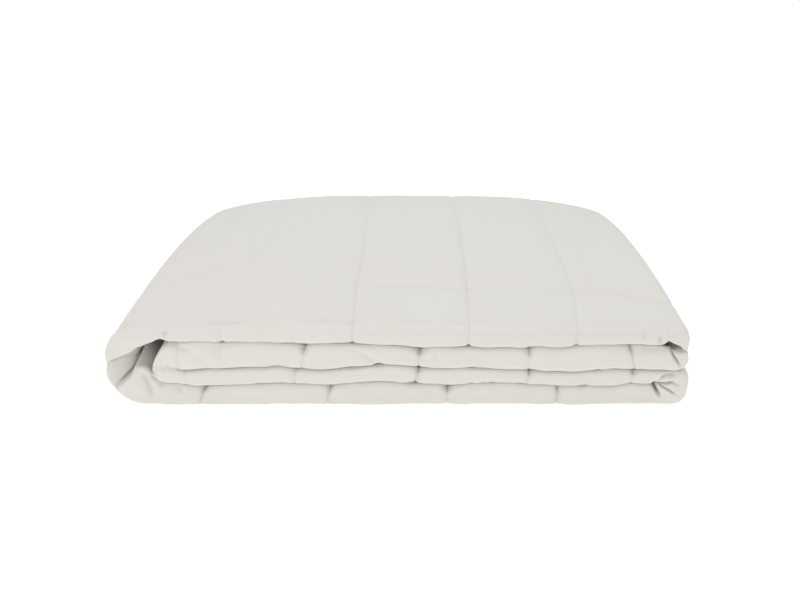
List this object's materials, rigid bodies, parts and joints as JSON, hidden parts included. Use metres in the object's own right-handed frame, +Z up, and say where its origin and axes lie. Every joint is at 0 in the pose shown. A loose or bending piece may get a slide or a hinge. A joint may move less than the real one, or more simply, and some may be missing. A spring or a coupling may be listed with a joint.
{
  "type": "weighted blanket, folded",
  "caption": "Quilted weighted blanket folded into a stack of four thick layers, with a round loop at one end and both hemmed ends tucked inside it.",
  "frame": {"origin": "middle of the footprint, on the surface that the folded blanket rests on", "axes": "+X along the layers, with the large loop at -X; the round front edges face -Y; +Z up through the stack"},
  "size_m": [0.5011, 0.292, 0.0845],
  "materials": {
    "cover": "light warm grey plain weave cotton, matte, quilted in square pockets"
  },
  "bodies": {
    "root": {"blanket": "cover"}
  },
  "joints": []
}
